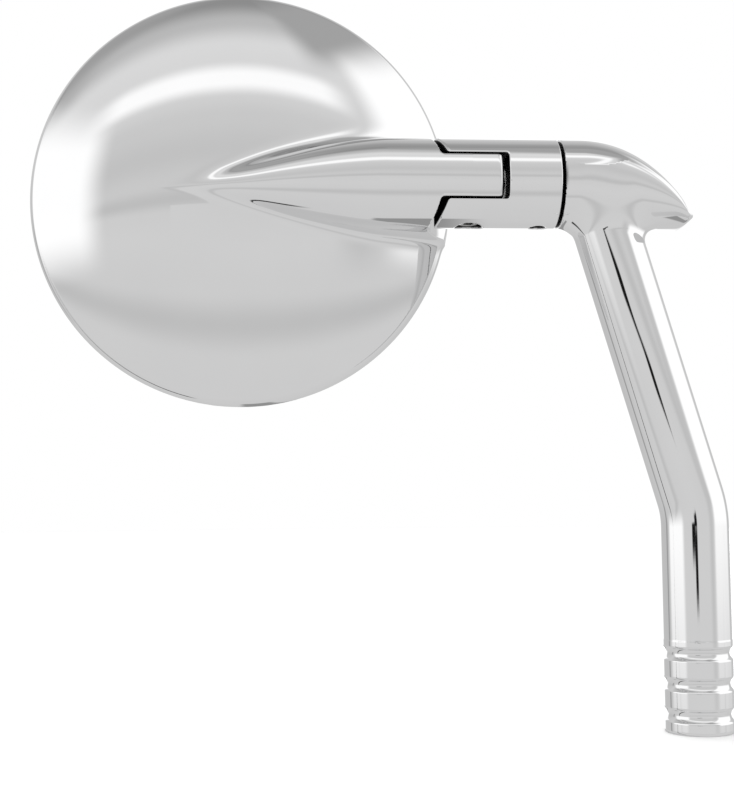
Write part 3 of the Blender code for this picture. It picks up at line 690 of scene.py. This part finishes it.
def stem_casting(material):
    upright = (
        (FOOT_LENGTH + MARGIN, FOOT_MESH_STEP),
        (AXIS_Z - TAIL_BELT, COARSE_STEP),
        (AXIS_Z + NECK_RADIUS + MARGIN, NECK_STEP),
    )
    lines = (
        grid_lines(STEM_FACE - MARGIN, (high("stem").x + MARGIN, STEM_STEP)),
        grid_lines(-NECK_RADIUS - MARGIN, (NECK_RADIUS + MARGIN, STEM_STEP)),
        grid_lines(-MARGIN, *upright),
    )
    at_face = gap_shade_mask(lambda x: smooth_step(x, STEM_FACE + FACE_FROM, STEM_FACE + FACE_FULL))
    return casting("stem_casting", stem_field, lines, material, at_face)


def make_castings(material):
    castings = (
        (head_casting(material), "head_shell", "head"),
        (clevis_casting(material), "clevis", "swivel"),
        (stem_casting(material), "stem", "stem"),
    )
    for piece, node, body in castings:
        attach(piece, body)
        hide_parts(node)


def turned_piece(name, outline, material):
    """A ring or disc turned about the head's axis, from (radius, Y) pairs listed round its section."""
    bm = bmesh.new()
    verts = [bm.verts.new((HEAD_X + radius, y, AXIS_Z)) for radius, y in outline]
    edges = [bm.edges.new(pair) for pair in zip(verts, verts[1:] + verts[:1])]
    bmesh.ops.spin(
        bm,
        geom=verts + edges,
        axis=(0, 1, 0),
        cent=(HEAD_X, 0, AXIS_Z),
        angle=math.tau,
        steps=SPIN_STEPS,
        use_merge=True,
    )
    bmesh.ops.remove_doubles(bm, verts=bm.verts, dist=0.001 * MM)
    bmesh.ops.delete(bm, geom=[e for e in bm.edges if not e.link_faces], context="EDGES")
    bmesh.ops.recalc_face_normals(bm, faces=bm.faces)
    mesh = bpy.data.meshes.new(name)
    bm.to_mesh(mesh)
    bm.free()
    mesh.shade_smooth()
    mesh.set_sharp_from_angle(angle=SHARP_EDGE)
    mesh.materials.append(material)
    obj = bpy.data.objects.new(name, mesh)
    bpy.context.scene.collection.objects.link(obj)
    return obj


def rounded(outline, radius):
    """The closed outline with each corner turned into a small arc."""
    points = [np.array(p, float) for p in outline]
    result = []
    for i, corner in enumerate(points):
        before, after = points[i - 1], points[(i + 1) % len(points)]
        into, out = before - corner, after - corner
        reach = min(radius, np.linalg.norm(into) / 2, np.linalg.norm(out) / 2)
        start = corner + into / np.linalg.norm(into) * reach
        end = corner + out / np.linalg.norm(out) * reach
        for t in np.linspace(0, 1, CORNER_STEPS + 1):
            result.append(tuple((1 - t) ** 2 * start + 2 * t * (1 - t) * corner + t**2 * end))
    return result


def make_glass(material):
    edge = (high("mirror_glass").x - low("mirror_glass").x) / 2
    back, front = low("mirror_glass").y, high("mirror_glass").y
    bulge = front - back - GLASS_THICKNESS
    curve = (edge**2 + bulge**2) / (2 * bulge)
    radii = np.linspace(0, edge, GLASS_RINGS)
    drop = curve - np.sqrt(curve**2 - radii**2)
    face = [(r, front - d) for r, d in zip(radii, drop)]
    rear = [(r, front - GLASS_THICKNESS - d) for r, d in zip(radii[::-1], drop[::-1])]
    face[-1] = (edge - GLASS_BEVEL, face[-1][1])
    face.append((edge, face[-1][1] - GLASS_BEVEL))
    glass = turned_piece("convex_glass", face + rear, material)
    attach(glass, "head")
    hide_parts("mirror_glass")


def make_gasket(material):
    """A channel that grips the edge of the glass, its lip thinner behind."""
    outer = (high("glass_gasket").x - low("glass_gasket").x) / 2
    inner = (high("mirror_glass").x - low("mirror_glass").x) / 2 - GASKET_COVER
    top, bottom = high("glass_gasket").y, low("glass_gasket").y
    channel_foot, channel_top = bottom + GASKET_LIP / 2, top - GASKET_LIP
    channel_wall = outer - GASKET_WALL
    outline = [
        (inner, top),
        (outer, top),
        (outer, bottom),
        (inner, bottom),
        (inner, channel_foot),
        (channel_wall, channel_foot),
        (channel_wall, channel_top),
        (inner, channel_top),
    ]
    gasket = turned_piece("rubber_gasket", rounded(outline, GASKET_ROUND), material)
    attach(gasket, "head")
    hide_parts("glass_gasket")


def finish_cad_nodes(finishes):
    """Gives each CAD node its slot's detailed material."""
    slots = {part["node"]: part["material_slot"] for part in frame["record"]["subparts"]}
    for name, node in frame["nodes"].items():
        node.data.materials.clear()
        node.data.materials.append(finishes[slots[name]])


# ---------------------------------------------------------------------------
# Studio: the tent that the chrome reflects, the floor and the camera
# ---------------------------------------------------------------------------


def grey(level):
    """Linear light of a grey given as 0 to 255 on screen."""
    share = level / 255
    return share / 12.92 if share <= 0.04045 else ((share + 0.055) / 1.055) ** 2.4


CHROME_REFLECTANCE = 0.82
FLOOR_RADIUS = 3.0
SUN_STRENGTH = 2.2
SUN_SPREAD = math.radians(70)
SUN_TILT = (math.radians(-12), math.radians(-14), 0)
CARD_Y = -0.15
CARD_X = (HEAD_X - 0.09, HEAD_X + 0.033)
CARD_Z = (AXIS_Z - 0.034, AXIS_Z + 0.012)
CARD_LEVELS = (202, 206)
CAMERA_LENS = 59.95  # millimetres, on a sensor 36 wide
CAMERA_SENSOR = 36
CAMERA_PLACE = (-0.11585, -0.36466, 0.06274)
CAMERA_LOOK_UP = math.radians(4.50)
CAMERA_TURN = math.radians(-3.94)
CAMERA_ROLL = math.radians(0.49)

# Light of the tent round a line along the neck, by pitch: 0 is ahead of the mirror's back,
# 90 overhead, 180 behind the glass and -90 straight down.
TENT_BELOW = [(-180, 187), (-150, 195), (-112, 200), (-94, 201), (-48, 203), (-36, 189), (-24, 203)]
TENT_AHEAD = [(-6, 205), (4, 203), (9, 188), (15, 200), (26, 193), (38, 199), (47, 208)]
TENT_ABOVE = [(60, 214), (67, 216), (78, 184), (88, 140), (98, 150), (120, 183)]
TENT_BEHIND = [(136, 200), (150, 196), (180, 187)]
TENT = TENT_BELOW + TENT_AHEAD + TENT_ABOVE + TENT_BEHIND

# Panels hung in the tent, each in front of those above it. Two measures bound a panel, each with
# where it starts, where it ends and how softly; the last number is its brightness, up to 255.
PANELS = [
    # strip light overhead
    (("azimuth", -58, 42, 8), ("pitch", 48, 57, 3), 252),
    # dark corners, upper right and upper left
    (("azimuth", 38, 100, 10), ("rise", 58, 84, 7), 160),
    (("azimuth", -118, -80, 8), ("rise", 38, 78, 8), 158),
    # windows, left and right
    (("azimuth", -108, -54, 6), ("rise", -7, 32, 8), 255),
    (("azimuth", 54, 122, 6), ("rise", -5, 56, 8), 256),
    # white wall behind the glass
    (("turned", 160, 205, 4), ("rise", -12, 36, 4), 254),
    # frames of the windows
    (("azimuth", -123, -117, 1.5), ("rise", -20, 6, 4), 150),
    (("azimuth", 36, 48, 7), ("rise", -10, 18, 9), 190),
    # stand below
    (("right", -0.02, 0.14, 0.02), ("pitch", -165, -113, 1.5), 142),
    # lens and its stand
    (("azimuth", -24, -14, 1.2), ("rise", -2.4, 1.5, 0.7), 20),
    (("azimuth", -15, -7, 1.2), ("rise", -4.3, -0.8, 0.7), 20),
    # dark gap under the left side of the tent
    (("right", -2, -0.30, 0.04), ("pitch", -107, -101, 2), 25),
]


def tent_shader():
    world = bpy.data.worlds.new("studio")
    bpy.context.scene.world = world
    world.use_nodes = True
    tree = world.node_tree
    tree.nodes.clear()
    nodes = Nodes(tree)
    direction = nodes.add("ShaderNodeSeparateXYZ")
    nodes.link(nodes.add("ShaderNodeTexCoord").outputs["Generated"], direction.inputs[0])
    right, away, up = direction.outputs
    ahead = nodes.math("MULTIPLY", away, -1.0)
    degrees = 180 / math.pi
    pitch = nodes.math("MULTIPLY", nodes.math("ARCTAN2", up, ahead), degrees)
    azimuth = nodes.math("MULTIPLY", nodes.math("ARCTAN2", right, ahead), degrees)
    turned = nodes.math("ABSOLUTE", azimuth)
    rise = nodes.math("MULTIPLY", nodes.math("ARCSINE", up), degrees)
    ramp = nodes.add("ShaderNodeValToRGB")
    ramp.color_ramp.interpolation = "EASE"
    stops = ramp.color_ramp.elements
    while len(stops) < len(TENT):
        stops.new(1.0)
    for stop, (angle, level) in zip(stops, TENT):
        stop.position = (angle + 180) / 360
        stop.color = (*[grey(level)] * 3, 1)
    nodes.link(nodes.math("DIVIDE", nodes.math("ADD", pitch, 180.0), 360.0), ramp.inputs[0])
    light = ramp.outputs[0]

    measures = {"azimuth": azimuth, "turned": turned, "pitch": pitch, "rise": rise, "right": right}

    def window(measure, start, end, soft):
        """1 between two values of a measure, fading over the soft stretch at each side."""
        value = measures[measure]
        rising = nodes.step(value, start - soft, start + soft)
        falling = nodes.step(value, end - soft, end + soft, 1.0, 0.0)
        return nodes.math("MULTIPLY", rising, falling)

    for across, upright, level in PANELS:
        mask = nodes.math("MULTIPLY", window(*across), window(*upright))
        light = nodes.mix(mask, light, grey(level))
    reflected = nodes.math("DIVIDE", light, CHROME_REFLECTANCE)
    studio = nodes.add("ShaderNodeBackground")
    nodes.link(reflected, studio.inputs["Color"])
    white = nodes.add("ShaderNodeBackground")
    white.inputs["Color"].default_value = (1, 1, 1, 1)
    seen = nodes.add("ShaderNodeLightPath").outputs["Is Camera Ray"]
    mixed = nodes.add("ShaderNodeMixShader")
    nodes.link(seen, mixed.inputs[0])
    nodes.link(studio.outputs[0], mixed.inputs[1])
    nodes.link(white.outputs[0], mixed.inputs[2])
    output = nodes.add("ShaderNodeOutputWorld")
    nodes.link(mixed.outputs[0], output.inputs[0])


def make_floor():
    """A pale sweep under the foot, left out of the chrome's reflections."""
    bm = bmesh.new()
    bmesh.ops.create_circle(bm, cap_ends=True, segments=128, radius=FLOOR_RADIUS)
    mesh = bpy.data.meshes.new("floor")
    bm.to_mesh(mesh)
    bm.free()
    floor = bpy.data.objects.new("floor", mesh)
    bpy.context.scene.collection.objects.link(floor)
    material, nodes, shader, place = new_material("pale floor")
    paper = nodes.noise(place, 60, 3)
    colour = nodes.mix_colour(paper, (0.90, 0.90, 0.90, 1), (0.93, 0.93, 0.93, 1))
    nodes.feed(shader, "Base Color", colour)
    shader.inputs["Roughness"].default_value = 0.9
    shader.inputs["Specular IOR Level"].default_value = 0.1
    mesh.materials.append(material)
    floor.visible_glossy = False


def make_overhead_light():
    """Even light from above for the floor, left out of the chrome's reflections."""
    data = bpy.data.lights.new("overhead", "SUN")
    data.energy = SUN_STRENGTH
    data.angle = SUN_SPREAD
    lamp = bpy.data.objects.new("overhead", data)
    lamp.rotation_euler = SUN_TILT
    lamp.visible_glossy = False
    bpy.context.scene.collection.objects.link(lamp)


def make_lens_card():
    """A light card that keeps the dark lens of the studio camera off the head, as in the photo."""
    (left, right), (bottom, top) = CARD_X, CARD_Z
    corners = [(left, bottom), (right, bottom), (right, top), (left, top)]
    mesh = bpy.data.meshes.new("lens_card")
    mesh.from_pydata([(x, CARD_Y, z) for x, z in corners], [], [(0, 1, 2, 3)])
    card = bpy.data.objects.new("lens_card", mesh)
    bpy.context.scene.collection.objects.link(card)
    material = bpy.data.materials.new("light card")
    material.use_nodes = True
    nodes = Nodes(material.node_tree)
    nodes.tree.nodes.remove(nodes.tree.nodes["Principled BSDF"])
    paper = nodes.noise(nodes.add("ShaderNodeTexCoord").outputs["Object"], 8, 2)
    glow = nodes.add("ShaderNodeEmission")
    dim, bright = (grey(level) for level in CARD_LEVELS)
    nodes.feed(glow, "Strength", nodes.step(paper, 0.2, 0.8, dim, bright))
    glow.inputs["Color"].default_value = (*[1 / CHROME_REFLECTANCE] * 3, 1)
    nodes.link(glow.outputs[0], nodes.tree.nodes["Material Output"].inputs[0])
    mesh.materials.append(material)
    card.visible_camera = False
    card.visible_diffuse = False
    card.visible_shadow = False


def make_camera():
    data = bpy.data.cameras.new("camera")
    data.lens = CAMERA_LENS
    data.sensor_width = CAMERA_SENSOR
    data.clip_start = 0.01
    camera = bpy.data.objects.new("camera", data)
    turn = Matrix.Rotation(CAMERA_TURN, 4, "Z")
    tilt = Matrix.Rotation(math.pi / 2 + CAMERA_LOOK_UP, 4, "X")
    roll = Matrix.Rotation(-CAMERA_ROLL, 4, "Z")
    camera.matrix_world = Matrix.Translation(CAMERA_PLACE) @ turn @ tilt @ roll
    bpy.context.scene.collection.objects.link(camera)
    bpy.context.scene.camera = camera


def make_studio():
    tent_shader()
    make_floor()
    make_lens_card()
    make_overhead_light()
    bpy.context.scene.view_settings.view_transform = "Standard"


def main():
    make_camera()
    plate = chrome()
    steel = turned_steel()
    rubber = moulded("black rubber", 0.012, 0.022, 0.62, 2600, 0.02 * MM)
    mirror = silvered_glass()
    finishes = {
        "chrome": plate,
        "steel": steel,
        "bronze": turned_bronze(),
        "nylon": moulded("black nylon", 0.014, 0.024, 0.42, 1500, 0.01 * MM),
        "rubber": rubber,
        "foam": moulded("grey foam", 0.05, 0.10, 0.9, 1800, 0.08 * MM),
        "mirror": mirror,
    }
    finish_cad_nodes(finishes)
    make_castings(plate)
    make_glass(mirror)
    make_gasket(rubber)
    make_studio()


main()
